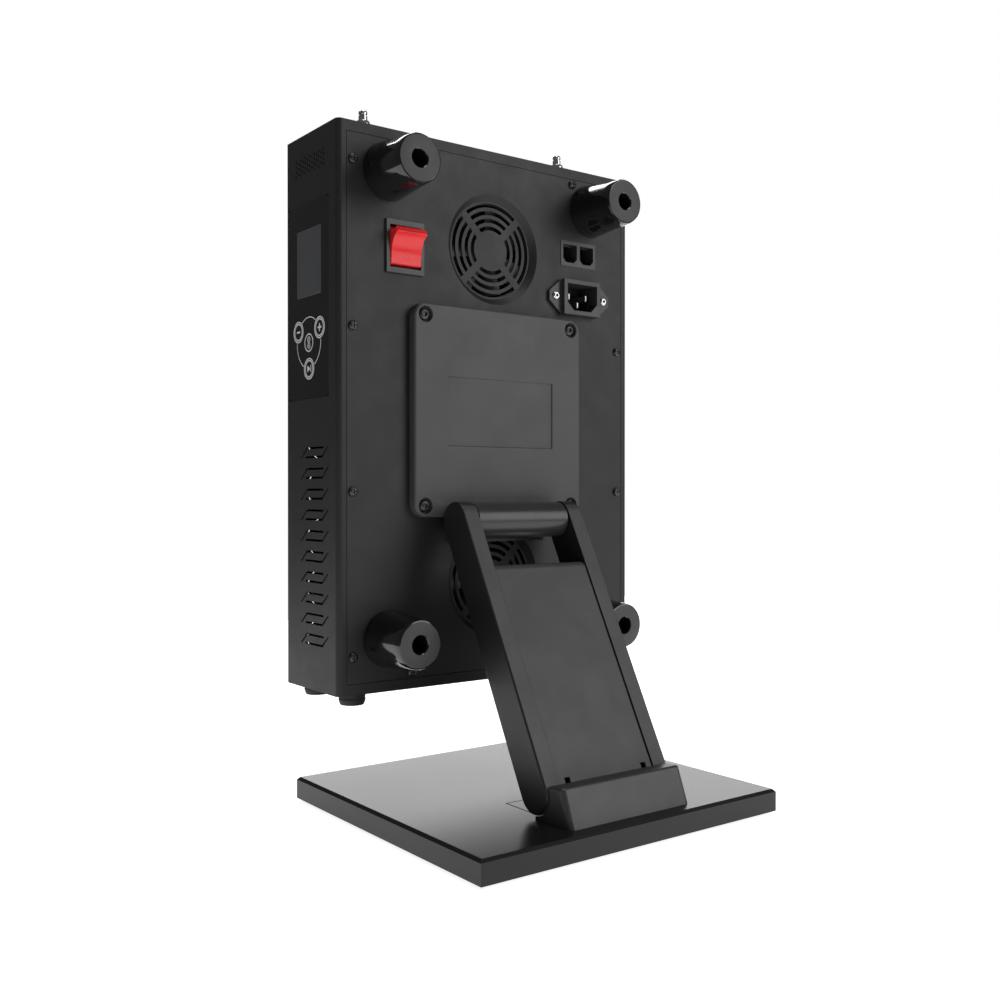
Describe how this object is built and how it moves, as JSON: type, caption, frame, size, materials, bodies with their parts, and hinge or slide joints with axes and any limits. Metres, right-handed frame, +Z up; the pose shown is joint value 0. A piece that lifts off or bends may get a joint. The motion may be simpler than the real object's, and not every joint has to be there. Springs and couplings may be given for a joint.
{
  "type": "tabletop light therapy panel",
  "caption": "Box-shaped LED light panel with a lens grid in front and fans and switch behind, held by a two-hinge folding arm on a flat heavy base.",
  "frame": {"origin": "on the table, below the centre of the whole object's bounding box at rest", "axes": "+Z up; the lens side looks along -Y; the control side of the panel is +X"},
  "size_m": [0.215, 0.1914, 0.406],
  "materials": {
    "housing_black": "satin powder coat",
    "rear_black": "satin powder coat",
    "front_black": "matte",
    "lens_clear": "clear moulded acrylic",
    "led_yellow": "matte",
    "board_green": "solder mask",
    "heat_sink_metal": "extruded",
    "driver_case": "matte",
    "display_body": "matte",
    "display_glass": "tinted",
    "control_gloss": "high gloss film",
    "fan_plastic": "matte",
    "dark_screws": "black oxide",
    "switch_black": "semi gloss",
    "rocker_red": "gloss",
    "contact_brass": "plated",
    "socket_black": "fine moulded texture",
    "bright_metal": "nickel plate",
    "standoff_gloss": "gloss sides, matte end",
    "mount_grey": "fine moulded texture",
    "barrel_black": "satin",
    "hanger_chrome": "nickel plate",
    "arm_black": "black satin paint on cast aluminium",
    "cover_black": "satin",
    "shaft_steel": "ground",
    "washer_dark": "friction disc",
    "base_gloss": "semi gloss paint",
    "inlay_gloss": "semi gloss paint",
    "block_black": "satin paint",
    "foot_rubber": "matte"
  },
  "bodies": {
    "stand_base": {"base_plate": "base_gloss", "base_inlay": "inlay_gloss", "base_feet": "foot_rubber", "hinge_block": "block_black", "block_screws": "dark_screws", "lower_hinge_shaft": "shaft_steel"},
    "stand_arm": {"arm_left": "arm_black", "arm_right": "arm_black", "arm_cover_rear": "cover_black", "arm_cover_front": "cover_black", "arm_crossbars": "arm_black", "upper_hinge_shaft": "shaft_steel", "hinge_washers": "washer_dark"},
    "lamp_head": {"back_plate": "rear_black", "back_plate_screws": "dark_screws", "control_board": "board_green", "fan_frame_lower": "fan_plastic", "fan_frame_upper": "fan_plastic", "fan_screws": "dark_screws", "front_plate": "front_black", "hanger_nuts": "bright_metal", "hanger_socket_left": "hanger_chrome", "hanger_socket_right": "hanger_chrome", "head_barrel": "barrel_black", "heat_sink": "heat_sink_metal", "housing_shell": "housing_black", "inlet_pins": "bright_metal", "inlet_screws": "bright_metal", "jack_contacts": "contact_brass", "jack_module": "socket_black", "lcd_module": "display_body", "lcd_window": "display_glass", "led_board": "board_green", "led_driver_left": "driver_case", "led_driver_right": "driver_case", "led_emitters": "led_yellow", "lens_array": "lens_clear", "mount_plate": "mount_grey", "mount_screws": "dark_screws", "panel_feet": "foot_rubber", "power_inlet": "socket_black", "standoff_lower_left": "standoff_gloss", "standoff_lower_right": "standoff_gloss", "standoff_screws": "dark_screws", "standoff_upper_left": "standoff_gloss", "standoff_upper_right": "standoff_gloss", "switch_housing": "switch_black", "switch_tabs": "contact_brass", "touch_overlay": "control_gloss"},
    "upper_rotor": {"fan_rotor_upper": "fan_plastic"},
    "lower_rotor": {"fan_rotor_lower": "fan_plastic"},
    "rocker": {"switch_rocker": "rocker_red"},
    "left_plunger": {"hanger_plunger_left": "hanger_chrome"},
    "right_plunger": {"hanger_plunger_right": "hanger_chrome"}
  },
  "joints": [
    {"name": "arm_fold", "type": "hinge", "parent": "stand_base", "child": "stand_arm", "pos_m": [0, 0.05875, 0.0267], "axis": [1, 0, 0], "range_deg": [0, 12]},
    {"name": "head_tilt", "type": "hinge", "parent": "stand_arm", "child": "lamp_head", "pos_m": [0, -0.01375, 0.16596], "axis": [1, 0, 0], "range_deg": [-90, 28]},
    {"name": "upper_fan_spin", "type": "hinge", "parent": "lamp_head", "child": "upper_rotor", "pos_m": [0.0015, -0.04325, 0.3283], "axis": [0, 1, 0], "continuous": true},
    {"name": "lower_fan_spin", "type": "hinge", "parent": "lamp_head", "child": "lower_rotor", "pos_m": [0.0015, -0.04325, 0.1295], "axis": [0, 1, 0], "continuous": true},
    {"name": "power_switch_rock", "type": "hinge", "parent": "lamp_head", "child": "rocker", "pos_m": [0.0647, -0.03625, 0.3212], "axis": [1, 0, 0], "range_deg": [0, 22]},
    {"name": "left_plunger_press", "type": "slide", "parent": "lamp_head", "child": "left_plunger", "axis": [0, 0, -1], "range_m": [0, 0.003], "stiffness_N_per_m": 300, "springref_m": -0.003},
    {"name": "right_plunger_press", "type": "slide", "parent": "lamp_head", "child": "right_plunger", "axis": [0, 0, -1], "range_m": [0, 0.003], "stiffness_N_per_m": 300, "springref_m": -0.003}
  ]
}
